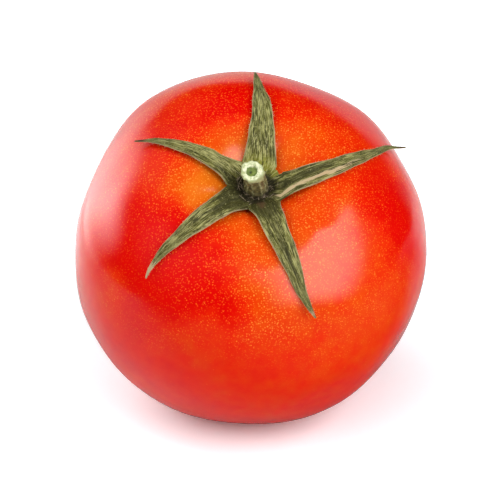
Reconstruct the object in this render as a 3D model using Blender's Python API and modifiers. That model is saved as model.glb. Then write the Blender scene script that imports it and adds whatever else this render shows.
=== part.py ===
"""A ripe round tomato with its calyx, resting leaned over on a small flat spot.

The fruit is one solid. Down in its stem-end dimple sits the calyx disc, which carries
the cut stem and five sepals. Metres, +Z up, +Y to the back. The origin is the middle of
the flat spot. Every piece is modelled in the fruit's own upright frame, with the stem end
up and the centre of the equator at zero, and an empty leans that frame over.
"""
import math

import bmesh
import bpy
import numpy as np
from mathutils import Matrix, Vector

# Fruit, upright
EQUATOR_RADIUS = 0.035
TOP_HEIGHT = 0.0294  # from the equator up to the stem end, before the dimple is sunk
BOTTOM_HEIGHT = 0.0326  # from the equator down to the blossom end
TOP_POWER = 2.26  # 2 is an ellipse, and more is a squarer shoulder
BOTTOM_POWER = 2.17
DIMPLE_DEPTH = 0.0055
DIMPLE_WIDTH = 0.0095
BLOSSOM_DEPTH = 0.0009
BLOSSOM_WIDTH = 0.007
LOBES = (  # lobes round the fruit, their height in equator radii, azimuth of one crest in degrees
    (2, 0.009, -82),
    (3, 0.010, -12),
    (4, 0.010, 30),
    (5, 0.004, -19),
    (6, 0.004, -3),
)
LOBE_FADE = 1.5  # power of the sine by which the lobes die out towards the ends
FRUIT_RINGS = 36
FRUIT_SEGMENTS = 60
RING_EVENNESS = 0.75  # 1 spaces the rings evenly, and less draws them into the dimple

# Pose: the stem end leans towards the front
LEAN = math.radians(33.6)
LEAN_HEADING = math.radians(-85)
FLAT_DEPTH = 0.0011  # how far the skin is flattened where the fruit rests
RESTING_BLOCK_SIDE = 0.1

# Calyx disc, a shallow cup that follows the floor of the dimple
GAP = 0.00035  # between touching pieces
DISC_REACH = 0.0056  # from the axis to the rim, along the skin
DISC_THICKNESS = 0.0010
DISC_SEGMENTS = 32
DISC_RINGS = 6

# Stem
STEM_RADIUS = 0.0021
STEM_FLARE = 1.25  # radius at the foot over the radius higher up
STEM_FLARE_POWER = 3  # how quickly the flare dies out up the stem
STEM_LENGTH = 0.0055
STEM_TILT = (-0.195, -0.03)  # sideways travel for each unit of height, to the right and to the back
STEM_SECTIONS = 6
STEM_BEVEL = 4  # sets how many sides the round stem has
STEM_CREASE = math.radians(50)
PITH_RADIUS = 0.0009
PITH_DEPTH = 0.0009
PITH_SEGMENTS = 16

# Sepals. Each runs over the fruit's skin from the rim of the disc.
SEPAL_ROOT = DISC_REACH + GAP  # from the axis, along the skin
SEPAL_THICKNESS = 0.0006
SEPAL_LIFT = GAP + DISC_THICKNESS / 2  # middle of the sepal above the skin
SEPAL_TIP_WIDTH = 0.0005
SEPAL_FLARE = 0.0006  # extra width where the sepal joins the disc
SEPAL_FLARE_LENGTH = 0.12  # share of the sepal over which the flare dies out
SEPAL_HOOK_START = 0.8  # share of the sepal from which the tip bends sideways
SEPAL_LIFT_START = 0.75  # share of the sepal from which the tip rises
SEPAL_ROWS = 16
SEPAL_COLUMNS = 4
SEPALS = {
    # azimuths in degrees; turn is the power by which the azimuth goes from root to tip;
    # reach is the tip's distance from the axis along the skin; fullness is how late it narrows
    "sepal_back": {
        "root": 83, "tip": 91.5, "turn": 1.0, "reach": 0.0279,
        "width": 0.0057, "fullness": 1.25, "tip_lift": 0.0006, "hook": -0.0003,
    },
    "sepal_left": {
        "root": 152.5, "tip": 155.5, "turn": 0.7, "reach": 0.0257,
        "width": 0.0046, "fullness": 1.3, "tip_lift": 0.0008, "hook": 0.0008,
    },
    "sepal_front_left": {
        "root": 220, "tip": 220, "turn": 1.0, "reach": 0.0272,
        "width": 0.0051, "fullness": 1.35, "tip_lift": 0.0010, "hook": 0.0015,
    },
    "sepal_front_right": {
        "root": 290, "tip": 293, "turn": 1.0, "reach": 0.0282,
        "width": 0.0048, "fullness": 1.6, "tip_lift": 0.0004, "hook": 0.0006,
    },
    "sepal_right": {
        "root": -8, "tip": 28.5, "turn": 0.45, "reach": 0.0350,
        "width": 0.0050, "fullness": 0.9, "tip_lift": 0.0016, "hook": -0.0015,
    },
}

SKIN_RED = (0.72, 0.02, 0.006, 1.0)
LEAF_GREEN = (0.13, 0.15, 0.045, 1.0)
DISC_GREEN = (0.09, 0.10, 0.035, 1.0)
STEM_GREEN = (0.28, 0.27, 0.12, 1.0)
SKIN_ROUGHNESS = 0.22
LEAF_ROUGHNESS = 0.6
DISC_ROUGHNESS = 0.75
STEM_ROUGHNESS = 0.7

PROFILE_STEPS = 2001
NORMAL_STEP = 0.0001  # metres along the skin between the points that give its slope
NORMAL_TURN = 0.002  # radians round the axis, for the same
MERGE_DISTANCE = 0.00001


def clear_scene():
    for obj in list(bpy.data.objects):
        bpy.data.objects.remove(obj, do_unlink=True)


def add_collection(name):
    collection = bpy.data.collections.new(name)
    bpy.context.scene.collection.children.link(collection)
    return collection


def add_object(name, mesh, collection, material=None):
    obj = bpy.data.objects.new(name, mesh)
    collection.objects.link(obj)
    if material:
        mesh.materials.append(material)
    return obj


def add_material(name, colour, roughness):
    material = bpy.data.materials.new(name)
    material.use_nodes = True
    shader = material.node_tree.nodes["Principled BSDF"]
    shader.inputs["Base Color"].default_value = colour
    shader.inputs["Roughness"].default_value = roughness
    shader.inputs["Metallic"].default_value = 0.0
    material.diffuse_color = colour
    return material


def skin_profile(polar):
    """Radius and height of the unlobed skin at a polar angle, 0 at the stem end."""
    side = np.sin(polar)
    up = np.cos(polar)
    height = np.where(up > 0, TOP_HEIGHT, BOTTOM_HEIGHT)
    power = np.where(up > 0, TOP_POWER, BOTTOM_POWER)
    reach = ((side / EQUATOR_RADIUS) ** power + (np.abs(up) / height) ** power) ** (-1 / power)
    radius = reach * side
    dimple = DIMPLE_DEPTH * np.exp(-((radius / DIMPLE_WIDTH) ** 2))
    hollow = BLOSSOM_DEPTH * np.exp(-((radius / BLOSSOM_WIDTH) ** 2))
    return radius, reach * up - np.where(up > 0, dimple, -hollow)


def lobe_factor(polar, azimuth):
    """How much the lobes push the skin out at a place, fading towards both ends."""
    swell = 0
    for count, height, crest in LOBES:
        swell = swell + height * np.cos(count * (azimuth - math.radians(crest)))
    return 1 + swell * np.sin(polar) ** LOBE_FADE


# The skin's length along a meridian, for placing things by their distance from the axis
POLAR_STEPS = np.linspace(0, math.pi, PROFILE_STEPS)
PROFILE_RADII, PROFILE_HEIGHTS = skin_profile(POLAR_STEPS)
STEP_LENGTHS = np.hypot(np.diff(PROFILE_RADII), np.diff(PROFILE_HEIGHTS))
SKIN_LENGTHS = np.concatenate(([0], np.cumsum(STEP_LENGTHS)))


def polar_at(distance):
    return np.interp(distance, SKIN_LENGTHS, POLAR_STEPS)


def skin_point(distance, azimuth):
    """A point on the skin, by its distance from the stem end along the meridian."""
    polar = polar_at(distance)
    radius, height = skin_profile(polar)
    radius = radius * lobe_factor(polar, azimuth)
    return Vector((radius * math.cos(azimuth), radius * math.sin(azimuth), height))


def above_skin(distance, azimuth, lift):
    """A point straight out from a place on the skin, by the height of the lift."""
    along = skin_point(distance + NORMAL_STEP, azimuth) - skin_point(distance - NORMAL_STEP, azimuth)
    across = skin_point(distance, azimuth + NORMAL_TURN) - skin_point(distance, azimuth - NORMAL_TURN)
    return skin_point(distance, azimuth) + lift * along.cross(across).normalized()


def lean_matrix():
    """Turns the fruit's upright frame so that its stem end leans towards the heading."""
    heading = Matrix.Rotation(LEAN_HEADING, 4, "Z")
    return heading @ Matrix.Rotation(LEAN, 4, "Y") @ heading.inverted()


def rest_location():
    """Where the fruit's centre is when its lowest point is sunk by the flat's depth."""
    polar, azimuth = np.meshgrid(np.radians(np.arange(90, 180, 0.5)), np.radians(np.arange(0, 360, 1)))
    radius, height = skin_profile(polar)
    radius = radius * lobe_factor(polar, azimuth)
    points = np.stack((radius * np.cos(azimuth), radius * np.sin(azimuth), height), axis=-1).reshape(-1, 3)
    leaned = points @ np.array(lean_matrix().to_3x3()).T
    x, y, z = leaned[leaned[:, 2].argmin()]
    return Vector((-x, -y, -z - FLAT_DEPTH))


def add_pose():
    pose = bpy.data.objects.new("fruit_frame", None)
    bpy.context.scene.collection.objects.link(pose)
    pose.rotation_euler = lean_matrix().to_euler()
    pose.location = rest_location()
    return pose


def turned_object(name, profile, segments, collection, material):
    """Turns a profile of (radius, height), listed from the top down, about the Z axis."""
    mesh = bpy.data.meshes.new(name)
    points = [(radius, 0, height) for radius, height in profile]
    edges = [(index, index + 1) for index in range(len(points) - 1)]
    mesh.from_pydata(points, edges, [])
    obj = add_object(name, mesh, collection, material)
    screw = obj.modifiers.new("turn", "SCREW")
    screw.steps = segments
    screw.render_steps = segments
    screw.use_merge_vertices = True
    screw.merge_threshold = MERGE_DISTANCE
    return obj


def mesh_from_curve(curve):
    """Swaps a curve object for a closed mesh object of the same name and shape."""
    graph = bpy.context.evaluated_depsgraph_get()
    mesh = bpy.data.meshes.new_from_object(curve.evaluated_get(graph))
    shaped = bmesh.new()
    shaped.from_mesh(mesh)
    bmesh.ops.remove_doubles(shaped, verts=shaped.verts, dist=MERGE_DISTANCE)
    shaped.to_mesh(mesh)
    shaped.free()
    name = curve.name
    collection = curve.users_collection[0]
    matrix = curve.matrix_world.copy()
    bpy.data.objects.remove(curve)
    made = add_object(name, mesh, collection)
    made.matrix_world = matrix
    return made


def cut(obj, cutter):
    boolean = obj.modifiers.new("cut", "BOOLEAN")
    boolean.operation = "DIFFERENCE"
    boolean.solver = "EXACT"
    boolean.object = cutter


def add_cutter(name, mesh_source, cutters):
    mesh = bpy.data.meshes.new(name)
    mesh_source.to_mesh(mesh)
    mesh_source.free()
    cutter = add_object(name, mesh, cutters)
    cutter.hide_render = True
    cutter.display_type = "WIRE"
    return cutter


def add_resting_cutter(cutters):
    """A block whose top is the surface that the fruit rests on."""
    block = bmesh.new()
    bmesh.ops.create_cube(block, size=RESTING_BLOCK_SIDE)
    cutter = add_cutter("resting_surface", block, cutters)
    cutter.location = (0, 0, -RESTING_BLOCK_SIDE / 2)
    return cutter


def add_fruit(parts, pose, resting_cutter):
    material = add_material("tomato_skin", SKIN_RED, SKIN_ROUGHNESS)
    shaped = bmesh.new()
    bmesh.ops.create_uvsphere(shaped, u_segments=FRUIT_SEGMENTS, v_segments=FRUIT_RINGS, radius=1)
    for vertex in shaped.verts:
        x, y, z = vertex.co
        share = math.acos(max(-1, min(1, z))) / math.pi
        # Rings are closer together in the dimple, where the skin curves most
        distance = SKIN_LENGTHS[-1] * (RING_EVENNESS * share + (1 - RING_EVENNESS) * share**2)
        vertex.co = skin_point(distance, math.atan2(y, x))
    mesh = bpy.data.meshes.new("fruit")
    shaped.to_mesh(mesh)
    shaped.free()
    mesh.shade_smooth()
    fruit = add_object("fruit", mesh, parts, material)
    fruit.parent = pose
    cut(fruit, resting_cutter)
    return fruit


def layer_profile(lift):
    """Radius and height, from the axis to the disc's rim, of a layer above the dimple's floor."""
    centre = (0, float(PROFILE_HEIGHTS[0]) + lift)
    distances = np.linspace(0, DISC_REACH, DISC_RINGS + 1)[1:]
    return [centre] + [above_skin(distance, 0, lift).xz[:] for distance in distances]


def add_calyx_disc(parts, pose):
    material = add_material("calyx_disc_green", DISC_GREEN, DISC_ROUGHNESS)
    top = layer_profile(GAP + DISC_THICKNESS)
    underside = layer_profile(GAP)
    disc = turned_object("calyx_disc", top + underside[::-1], DISC_SEGMENTS, parts, material)
    disc.parent = pose
    return disc


def stem_point(height):
    """A point on the stem's middle line, which bends over as it rises."""
    rim_of_foot = above_skin(STEM_RADIUS * STEM_FLARE, 0, GAP + DISC_THICKNESS)
    bend = height**2 / STEM_LENGTH
    return Vector((STEM_TILT[0] * bend, STEM_TILT[1] * bend, rim_of_foot.z + GAP + height))


def add_stem(parts, cutters, pose):
    material = add_material("stem_green", STEM_GREEN, STEM_ROUGHNESS)
    curve = bpy.data.curves.new("stem", "CURVE")
    curve.dimensions = "3D"
    curve.bevel_depth = STEM_RADIUS
    curve.bevel_resolution = STEM_BEVEL
    curve.use_fill_caps = True
    spline = curve.splines.new("POLY")
    heights = [STEM_LENGTH * section / STEM_SECTIONS for section in range(STEM_SECTIONS + 1)]
    spline.points.add(len(heights) - 1)
    for point, height in zip(spline.points, heights):
        point.co = (*stem_point(height), 1)
        point.radius = 1 + (STEM_FLARE - 1) * (1 - height / STEM_LENGTH) ** STEM_FLARE_POWER
    stem = bpy.data.objects.new("stem", curve)
    parts.objects.link(stem)
    stem = mesh_from_curve(stem)
    stem.data.materials.append(material)
    stem.data.set_sharp_from_angle(angle=STEM_CREASE)
    stem.parent = pose

    pit = bmesh.new()
    bmesh.ops.create_cone(
        pit,
        cap_ends=True,
        segments=PITH_SEGMENTS,
        radius1=PITH_RADIUS / 2,
        radius2=PITH_RADIUS,
        depth=2 * PITH_DEPTH,
    )
    pit_cutter = add_cutter("pith_pit", pit, cutters)
    end = stem_point(STEM_LENGTH)
    direction = end - stem_point(heights[-2])
    pit_cutter.location = end
    pit_cutter.rotation_euler = direction.to_track_quat("Z", "Y").to_euler()
    pit_cutter.parent = pose
    cut(stem, pit_cutter)
    return stem


def sepal_point(sepal, along, across):
    """A point on a sepal's middle sheet: along is 0 at the root and 1 at the tip, and
    across is -0.5 and 0.5 at the two edges."""
    distance = SEPAL_ROOT + (sepal["reach"] - SEPAL_ROOT) * along
    azimuth = sepal["root"] + (sepal["tip"] - sepal["root"]) * along ** sepal["turn"]
    radius = float(skin_profile(polar_at(distance))[0])
    width = sepal["width"] * (1 - along ** sepal["fullness"]) + SEPAL_TIP_WIDTH
    width += SEPAL_FLARE * math.exp(-along / SEPAL_FLARE_LENGTH)
    hook = sepal["hook"] * max(0, (along - SEPAL_HOOK_START) / (1 - SEPAL_HOOK_START)) ** 2
    azimuth = math.radians(azimuth) + (hook + across * width) / radius
    rise = max(0, (along - SEPAL_LIFT_START) / (1 - SEPAL_LIFT_START)) ** 2
    lift = SEPAL_LIFT + sepal["tip_lift"] * rise
    return above_skin(distance, azimuth, lift)


def add_sepal(name, sepal, parts, pose, material):
    shaped = bmesh.new()
    bmesh.ops.create_grid(shaped, x_segments=SEPAL_ROWS, y_segments=SEPAL_COLUMNS, size=0.5)
    for vertex in shaped.verts:
        vertex.co = sepal_point(sepal, vertex.co.x + 0.5, vertex.co.y)
    mesh = bpy.data.meshes.new(name)
    shaped.to_mesh(mesh)
    shaped.free()
    mesh.shade_smooth()
    obj = add_object(name, mesh, parts, material)
    sheet = obj.modifiers.new("thickness", "SOLIDIFY")
    sheet.thickness = SEPAL_THICKNESS
    sheet.offset = 0
    obj.parent = pose
    return obj


def main():
    clear_scene()
    parts = add_collection("tomato")
    cutters = add_collection("cutters")
    pose = add_pose()
    add_fruit(parts, pose, add_resting_cutter(cutters))
    add_calyx_disc(parts, pose)
    add_stem(parts, cutters, pose)
    leaf = add_material("sepal_green", LEAF_GREEN, 0.6)
    for name, sepal in SEPALS.items():
        add_sepal(name, sepal, parts, pose, leaf)


main()
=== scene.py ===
"""Looks of a ripe tomato, leaned over at rest on its flat spot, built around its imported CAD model.

The fruit, the fused calyx with its five sepals and a few dried fibres, the cut stem and the
fine hairs are new meshes. They are made in the fruit's own upright frame, with the stem end up
and the centre of the equator at zero, and their points are then leaned over into the resting
pose. A place on the fruit is a distance from the stem end along the skin, an azimuth round the
axis and a lift above the skin. Metres, +Z up, -Y to the front.
"""
import math

import bmesh
import bpy
import numpy as np
from mathutils import Matrix, Quaternion, Vector


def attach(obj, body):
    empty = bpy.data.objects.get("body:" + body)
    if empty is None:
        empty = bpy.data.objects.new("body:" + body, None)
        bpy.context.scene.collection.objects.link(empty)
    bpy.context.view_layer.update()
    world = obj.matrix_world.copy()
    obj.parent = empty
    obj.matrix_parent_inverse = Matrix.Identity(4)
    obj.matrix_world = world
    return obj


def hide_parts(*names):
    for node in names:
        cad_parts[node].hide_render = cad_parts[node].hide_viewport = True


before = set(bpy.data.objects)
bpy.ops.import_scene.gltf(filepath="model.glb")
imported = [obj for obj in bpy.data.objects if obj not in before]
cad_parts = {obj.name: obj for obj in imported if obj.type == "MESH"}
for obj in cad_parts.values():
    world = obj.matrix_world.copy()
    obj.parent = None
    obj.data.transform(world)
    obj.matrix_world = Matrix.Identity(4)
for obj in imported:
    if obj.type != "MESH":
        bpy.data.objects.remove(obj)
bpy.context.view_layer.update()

# ---------------------------------------------------------------- fruit and pose, as in the CAD parts

EQUATOR_RADIUS = 0.035
TOP_HEIGHT = 0.0294  # from the equator up to the stem end, before the dimple is sunk
BOTTOM_HEIGHT = 0.0326  # from the equator down to the blossom end
TOP_POWER = 2.26  # 2 is an ellipse, and more is a squarer shoulder
BOTTOM_POWER = 2.17
DIMPLE_DEPTH = 0.0055
DIMPLE_WIDTH = 0.0095
BLOSSOM_DEPTH = 0.0009
BLOSSOM_WIDTH = 0.007
# Lobes round the fruit, their height in equator radii, azimuth of one crest in degrees
LOBES = ((2, 0.009, -82), (3, 0.010, -12), (4, 0.010, 30), (5, 0.004, -19), (6, 0.004, -3))
LOBE_FADE = 1.5  # power of the sine by which the lobes die out towards the ends

LEAN = math.radians(33.6)
LEAN_HEADING = math.radians(-85)
FLAT_DEPTH = 0.0011  # how far the skin is flattened where the fruit rests

# ---------------------------------------------------------------- shape of the skin

PROFILE_STEPS = 4001
NORMAL_STEP = 0.0001  # metres along the skin between the points that give its slope
NORMAL_TURN = 0.002  # radians round the axis, for the same


def rise(low, high, value):
    """A straight slope from 0 at low to 1 at high, level on both sides."""
    return np.clip((value - low) / (high - low), 0, 1)


def smooth(low, high, value):
    """A smooth step from 0 at low to 1 at high."""
    share = rise(low, high, value)
    return share * share * (3 - 2 * share)


def bell(value, middle, half_width):
    """1 at the middle, falling off on both sides."""
    return np.exp(-(((value - middle) / half_width) ** 2))


def unit(vectors):
    return vectors / np.linalg.norm(vectors, axis=-1, keepdims=True)


def around_axis(radius, azimuth, height):
    return np.stack((radius * np.cos(azimuth), radius * np.sin(azimuth), height), axis=-1)


def skin_profile(polar):
    """Radius and height of the unlobed skin at a polar angle, 0 at the stem end."""
    side = np.sin(polar)
    up = np.cos(polar)
    height = np.where(up > 0, TOP_HEIGHT, BOTTOM_HEIGHT)
    power = np.where(up > 0, TOP_POWER, BOTTOM_POWER)
    reach = ((side / EQUATOR_RADIUS) ** power + (np.abs(up) / height) ** power) ** (-1 / power)
    radius = reach * side
    dimple = DIMPLE_DEPTH * bell(radius, 0, DIMPLE_WIDTH)
    hollow = BLOSSOM_DEPTH * bell(radius, 0, BLOSSOM_WIDTH)
    return radius, reach * up - np.where(up > 0, dimple, -hollow)


def lobe_factor(polar, azimuth):
    """How much the lobes push the skin out at a place, fading towards both ends."""
    swell = 0
    for count, height, crest in LOBES:
        swell = swell + height * np.cos(count * (azimuth - math.radians(crest)))
    return 1 + swell * np.sin(polar) ** LOBE_FADE


POLAR_STEPS = np.linspace(0, math.pi, PROFILE_STEPS)
PROFILE_RADII, PROFILE_HEIGHTS = skin_profile(POLAR_STEPS)
STEP_LENGTHS = np.hypot(np.diff(PROFILE_RADII), np.diff(PROFILE_HEIGHTS))
SKIN_LENGTHS = np.concatenate(([0], np.cumsum(STEP_LENGTHS)))
MERIDIAN = SKIN_LENGTHS[-1]  # from the stem end to the blossom end along the skin


def lobed_points(polar, azimuth):
    radius, height = skin_profile(polar)
    return around_axis(radius * lobe_factor(polar, azimuth), azimuth, height)


def skin_points(distance, azimuth):
    """Points on the skin, by their distance from the stem end along the meridian."""
    return lobed_points(np.interp(distance, SKIN_LENGTHS, POLAR_STEPS), azimuth)


def skin_normals(distance, azimuth):
    """Outward directions, kept off the stem end itself, where the meridians meet."""
    distance = np.maximum(distance, 2 * NORMAL_STEP)
    along = skin_points(distance + NORMAL_STEP, azimuth) - skin_points(distance - NORMAL_STEP, azimuth)
    across = skin_points(distance, azimuth + NORMAL_TURN) - skin_points(distance, azimuth - NORMAL_TURN)
    return unit(np.cross(along, across))


def above_skin(distance, azimuth, lift):
    return skin_points(distance, azimuth) + skin_normals(distance, azimuth) * np.asarray(lift)[..., None]


def lean_matrix():
    """Tips the stem end towards the lean's heading."""
    heading = Matrix.Rotation(LEAN_HEADING, 4, "Z")
    return heading @ Matrix.Rotation(LEAN, 4, "Y") @ heading.inverted()


def rest_location():
    """Where the fruit's centre is when its lowest point is sunk by the flat's depth."""
    polar, azimuth = np.meshgrid(np.radians(np.arange(90, 180, 0.5)), np.radians(np.arange(0, 360, 1)))
    points = lobed_points(polar, azimuth).reshape(-1, 3)
    leaned = points @ np.array(lean_matrix().to_3x3()).T
    x, y, z = leaned[leaned[:, 2].argmin()]
    return Vector((-x, -y, -z - FLAT_DEPTH))


POSE = Matrix.Translation(rest_location()) @ lean_matrix()


def waves(points, wavelength, seed, count=14):
    """A smooth random field of about unit size, made of plane waves in all directions."""
    random = np.random.default_rng(seed)
    field = np.zeros(points.shape[:-1])
    for _ in range(count):
        direction = random.normal(size=3)
        direction /= np.linalg.norm(direction)
        length = wavelength * random.uniform(0.7, 1.5)
        phase = random.uniform(0, 2 * math.pi)
        field += np.cos(points @ direction * (2 * math.pi / length) + phase)
    return field / math.sqrt(count / 2)


# ---------------------------------------------------------------- making pieces


def add_piece(name, mesh, material, node):
    """A new visible piece in the fruit's frame, leaned over, that stands for a CAD node if it
    names one."""
    mesh.transform(POSE)
    mesh.update()
    piece = bpy.data.objects.new(name, mesh)
    bpy.context.scene.collection.objects.link(piece)
    mesh.materials.append(material)
    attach(piece, "root")
    if node:
        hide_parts(node)


def set_points(mesh, points):
    mesh.vertices.foreach_set("co", np.asarray(points, dtype=np.float32).ravel())
    mesh.update()


def get_points(mesh):
    points = np.empty(3 * len(mesh.vertices), dtype=np.float32)
    mesh.vertices.foreach_get("co", points)
    return points.reshape(-1, 3).astype(float)


def store(mesh, name, values):
    """Keeps a three-number value at each vertex for the material to read."""
    attribute = mesh.attributes.new(name, "FLOAT_VECTOR", "POINT")
    attribute.data.foreach_set("vector", np.asarray(values, dtype=np.float32).ravel())


def new_mesh(name, points, faces):
    mesh = bpy.data.meshes.new(name)
    mesh.from_pydata(np.reshape(points, (-1, 3)).tolist(), [], faces)
    mesh.update()
    return mesh


def loft(name, rings):
    """A closed mesh through rings of points, each ring joined to itself and to the next, with
    both ends filled. Rings turn clockwise seen from the first ring towards the last."""
    rows, columns, _ = rings.shape
    index = np.arange(rows * columns).reshape(rows, columns)
    here, ahead = index[:-1], index[1:]
    sides = np.stack((here, np.roll(here, -1, 1), np.roll(ahead, -1, 1), ahead), axis=-1).reshape(-1, 4)
    faces = [tuple(face) for face in sides.tolist()]
    faces.append(tuple(index[0][::-1].tolist()))
    faces.append(tuple(index[-1].tolist()))
    mesh = new_mesh(name, rings, faces)
    mesh.shade_smooth()
    return mesh


# ---------------------------------------------------------------- nodes


class Nodes:
    """Short names for building the node tree of a material, a light or the world."""

    def __init__(self, owner):
        owner.use_nodes = True
        self.tree = owner.node_tree

    def add(self, kind, inputs=None, **settings):
        node = self.tree.nodes.new(kind)
        for key, value in settings.items():
            setattr(node, key, value)
        for key, value in (inputs or {}).items():
            self.put(node.inputs[key], value)
        return node

    def put(self, socket, value):
        """Links a value that is another node's output, and sets any other value."""
        if isinstance(value, bpy.types.NodeSocket):
            self.tree.links.new(value, socket)
        else:
            socket.default_value = value

    def set(self, name, inputs):
        """Fills in the inputs of a node that the tree started with."""
        for key, value in inputs.items():
            self.put(self.tree.nodes[name].inputs[key], value)

    def math(self, operation, a, b=0.0, c=0.0):
        return self.add("ShaderNodeMath", {0: a, 1: b, 2: c}, operation=operation).outputs[0]

    def vary(self, base, noise, gain):
        """The base, moved up and down as a noise strays from its middle value."""
        return self.math("MULTIPLY_ADD", self.math("SUBTRACT", noise, 0.5), gain, base)

    def ramp(self, value, low, high, to_low=0.0, to_high=1.0):
        """A smooth step from to_low to to_high as the value goes from low to high."""
        node = self.add(
            "ShaderNodeMapRange",
            {"Value": value, "From Min": low, "From Max": high, "To Min": to_low, "To Max": to_high},
            interpolation_type="SMOOTHSTEP",
        )
        return node.outputs["Result"]

    def mix(self, share, a, b):
        """From colour a at share 0 to colour b at share 1."""
        node = self.add("ShaderNodeMix", data_type="RGBA")
        self.put(node.inputs["Factor"], share)
        self.put(node.inputs[6], a)
        self.put(node.inputs[7], b)
        return node.outputs[2]

    def vector(self, operation, first, second):
        return self.add("ShaderNodeVectorMath", {0: first, 1: second}, operation=operation)

    def xyz(self, vector):
        parts = self.add("ShaderNodeSeparateXYZ", {"Vector": vector}).outputs
        return parts["X"], parts["Y"], parts["Z"]

    def attribute(self, name):
        return self.add("ShaderNodeAttribute", attribute_name=name).outputs["Vector"]

    def here(self):
        """Coordinates in the object's own frame."""
        return self.add("ShaderNodeTexCoord").outputs["Object"]

    def place(self):
        """Coordinates in the fruit's upright frame."""
        location, turn, _ = POSE.decompose()
        inputs = {"Vector": self.here(), "Location": location, "Rotation": turn.to_euler()}
        return self.add("ShaderNodeMapping", inputs, vector_type="TEXTURE").outputs["Vector"]

    def stretched(self, vector, scale):
        return self.add("ShaderNodeMapping", {"Vector": vector, "Scale": scale}).outputs["Vector"]

    def noise(self, vector, scale, detail=3.0, roughness=0.55, distortion=0.0):
        node = self.add(
            "ShaderNodeTexNoise",
            {"Vector": vector, "Scale": scale, "Detail": detail, "Roughness": roughness,
             "Distortion": distortion},
        )
        return node.outputs["Fac"]

    def near(self, vector, point, inner, outer):
        """1 within the inner distance of a point, falling to 0 at the outer distance."""
        return self.ramp(self.vector("DISTANCE", vector, point).outputs["Value"], inner, outer, 1.0, 0.0)

    def bump(self, height, strength, distance, below=None):
        """Relief of a height map, on top of the relief below it if there is one."""
        inputs = {"Height": height, "Strength": strength, "Distance": distance}
        if below is not None:
            inputs["Normal"] = below
        return self.add("ShaderNodeBump", inputs).outputs["Normal"]


def new_material(name):
    """A material and its nodes. The tree starts with a Principled BSDF and the output."""
    material = bpy.data.materials.new(name)
    return material, Nodes(material)


def colour(red, green, blue):
    return (red, green, blue, 1.0)


# ---------------------------------------------------------------- fruit

FRUIT_CUTS = 109  # cuts along each edge of the cube that the fruit's mesh starts from
STEM_END_CROWDING = 0.25  # 0 spaces the mesh's rows evenly, and more draws them to the stem end
SWELLS = 0.00010  # height of the soft unevenness of the skin
SWELL_LENGTH = 0.016
FURROWS = 10  # shallow furrows that run out from the calyx
FURROW_DEPTH = 0.00012
CONTACT_SOFTNESS = 0.00025  # how gently the skin bends into the flat spot
CONTACT_HEIGHT = 0.003  # up to where the flat spot shapes the skin

DEEP_RED = colour(0.70, 0.0020, 0.0008)
WARM_RED = colour(0.76, 0.017, 0.0010)
ORANGE = colour(0.76, 0.062, 0.0012)
YELLOW = colour(0.78, 0.150, 0.005)
RED_SPECK = colour(0.92, 0.17, 0.014)
GOLD_SPECK = colour(1.0, 0.42, 0.05)

# Distance from the stem end along the skin, azimuth in degrees, inner and outer radius, strength
WARM_PATCHES = (
    (0.009, 48, 0.001, 0.011, 0.60),
    (0.010, 186, 0.000, 0.010, 0.90),
    (0.010, 252, 0.000, 0.013, 0.50),
    (0.008, 124, 0.000, 0.010, 0.70),
    (0.017, 328, 0.001, 0.017, 0.35),
    (0.021, 285, 0.000, 0.014, 0.35),
    (0.040, 248, 0.000, 0.013, 0.15),
    (0.030, 315, 0.002, 0.022, 0.15),
)
RIPE_PATCHES = (
    (0.026, 204, 0.001, 0.014, 0.85),
    (0.023, 231, 0.001, 0.013, 0.85),
    (0.026, 259, 0.000, 0.006, 0.50),
    (0.019, 101, 0.000, 0.011, 0.75),
    (0.033, 230, 0.000, 0.010, 0.45),
    (0.030, 354, 0.001, 0.015, 0.60),
    (0.027, 62, 0.001, 0.015, 0.50),
    (0.042, 233, 0.001, 0.016, 0.30),
    (0.021, 143, 0.001, 0.012, 0.35),
)
PATCH_RAGGEDNESS = 0.011  # how far the patches' outlines wander


def ripeness(n, place, height, broad, fine):
    """How far the ground is from deep red, at 0, towards orange and yellow, at 1 and more."""
    wander = n.add("ShaderNodeTexNoise", {"Vector": place, "Scale": 110, "Detail": 2.0}).outputs["Color"]
    wander = n.vector("SUBTRACT", wander, (0.5, 0.5, 0.5)).outputs["Vector"]
    wander = n.add("ShaderNodeVectorMath", {0: wander, "Scale": PATCH_RAGGEDNESS}, operation="SCALE")
    ragged = n.vector("ADD", place, wander.outputs["Vector"]).outputs["Vector"]
    warmth = n.math("MULTIPLY_ADD", broad, 0.9, -0.12)
    warmth = n.math("MULTIPLY_ADD", n.ramp(height, -0.02, 0.026), 0.22, warmth)
    for patches, sign in ((WARM_PATCHES, 1), (RIPE_PATCHES, -1)):
        for distance, azimuth, inner, outer, amount in patches:
            middle = tuple(skin_points(distance, math.radians(azimuth)))
            warmth = n.math("MULTIPLY_ADD", n.near(ragged, middle, inner, outer), sign * amount, warmth)
    warmth = n.math("MULTIPLY_ADD", fine, 0.8, warmth)
    return n.math("SUBTRACT", warmth, 0.4)


def specks(n, place, ground, tint, scale, radius, keep, mask, amount):
    """Round dots, one in each cell of a Voronoi pattern. The radius is a share of the cell's
    size, and the higher keep is, the fewer cells show theirs."""
    cells = n.add("ShaderNodeTexVoronoi", {"Vector": place, "Scale": scale, "Randomness": 1.0})
    dot = n.ramp(cells.outputs["Distance"], radius * 0.4, radius, 1.0, 0.0)
    chance = n.add("ShaderNodeSeparateColor", {"Color": cells.outputs["Color"]}).outputs["Red"]
    share = n.math("MULTIPLY", dot, n.ramp(chance, keep, keep + 0.6))
    share = n.math("MULTIPLY", share, mask)
    share = n.math("MULTIPLY", share, amount)
    return n.mix(share, ground, tint)


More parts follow.
